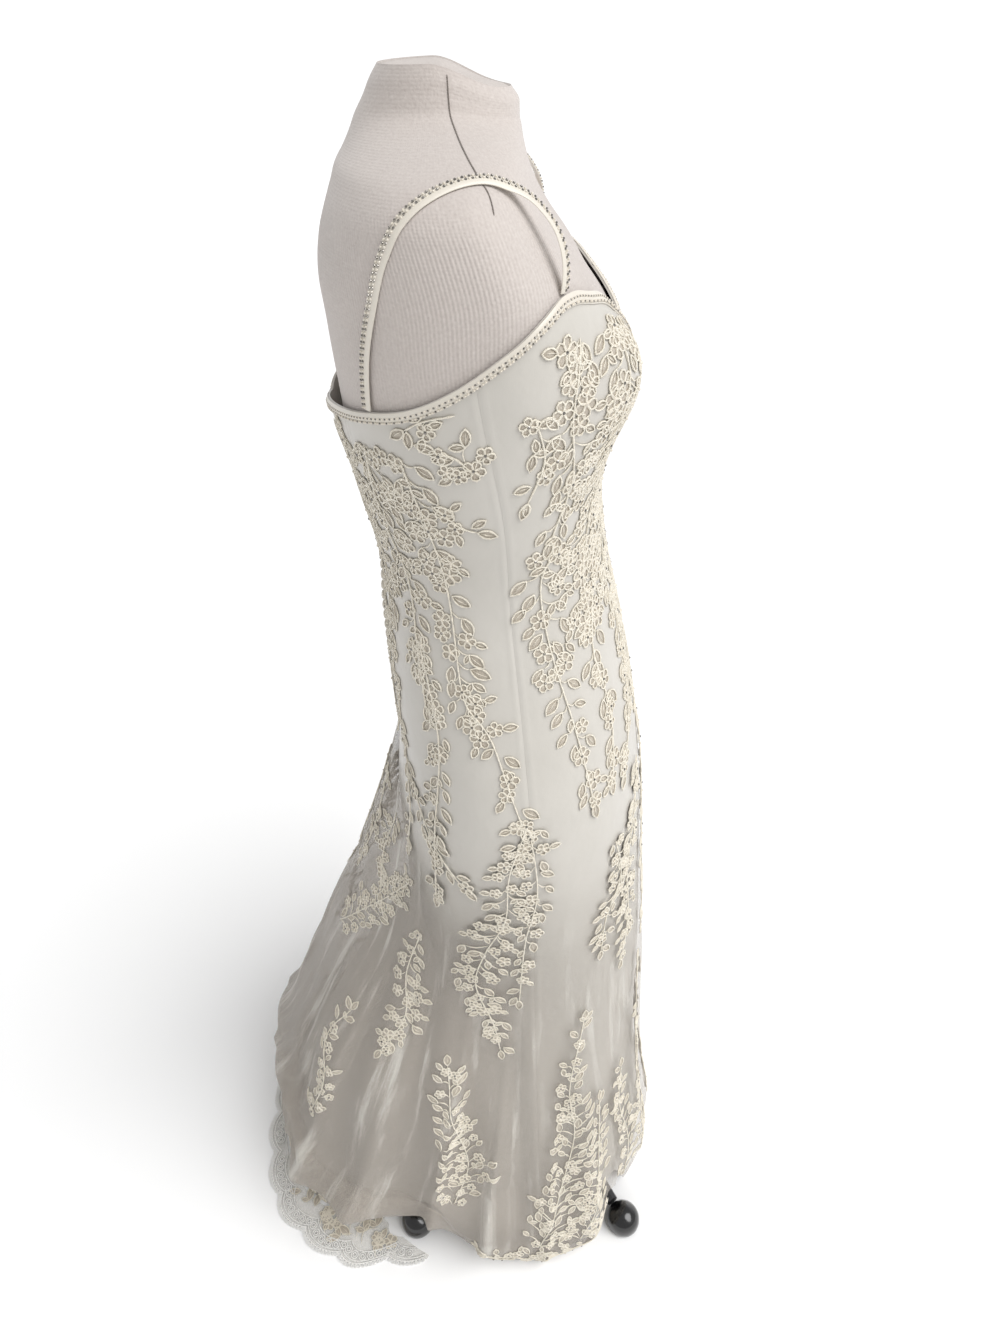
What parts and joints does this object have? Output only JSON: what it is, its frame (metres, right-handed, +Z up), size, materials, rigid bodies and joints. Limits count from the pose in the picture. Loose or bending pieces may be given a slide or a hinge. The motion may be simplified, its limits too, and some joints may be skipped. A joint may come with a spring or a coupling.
{
  "type": "mermaid gown on dress form",
  "caption": "Sleeveless fitted satin gown with net overskirt, corded lace, beaded straps and a short train, on a limbless dress form with a four-legged stand.",
  "frame": {"origin": "on the floor, under the middle of the whole footprint with the train; the form's pole stands 93 mm in front of it", "axes": "+Z up, -Y is the gown's front, -X is the wearer's right"},
  "size_m": [0.5473, 0.5899, 1.4],
  "materials": {
    "satin": "smooth satin sheen",
    "net": "fine sheer net",
    "lace": "corded lace",
    "beaded_trim": "satin piping with beads",
    "covered_button": "satin covered",
    "knit_cover": "fine rib knit",
    "stand_metal": "black enamel",
    "stand_foot": "glossy moulded"
  },
  "bodies": {
    "root": {"front_centre_panel": "satin", "front_side_panel_right": "satin", "front_side_panel_left": "satin", "back_side_panel_right": "satin", "back_side_panel_left": "satin", "back_panel_right": "satin", "back_panel_left": "satin", "net_skirt_right": "net", "net_skirt_left": "net", "lace_border": "lace", "neckline_trim": "beaded_trim", "strap_right": "beaded_trim", "strap_left": "beaded_trim", "button_placket": "satin", "button_01": "covered_button", "button_02": "covered_button", "button_03": "covered_button", "button_04": "covered_button", "button_05": "covered_button", "button_06": "covered_button", "button_07": "covered_button", "button_08": "covered_button", "button_09": "covered_button", "button_10": "covered_button", "button_11": "covered_button", "button_12": "covered_button", "button_13": "covered_button", "button_14": "covered_button", "button_15": "covered_button", "button_16": "covered_button", "button_17": "covered_button", "button_18": "covered_button", "button_19": "covered_button", "button_20": "covered_button", "button_21": "covered_button", "button_22": "covered_button", "button_23": "covered_button", "button_24": "covered_button", "button_25": "covered_button", "button_26": "covered_button", "button_27": "covered_button", "form_torso": "knit_cover", "stand_pole": "stand_metal", "stand_hub": "stand_metal", "stand_leg_1": "stand_metal", "stand_leg_2": "stand_metal", "stand_leg_3": "stand_metal", "stand_leg_4": "stand_metal", "stand_foot_1": "stand_foot", "stand_foot_2": "stand_foot", "stand_foot_3": "stand_foot", "stand_foot_4": "stand_foot"}
  },
  "joints": []
}
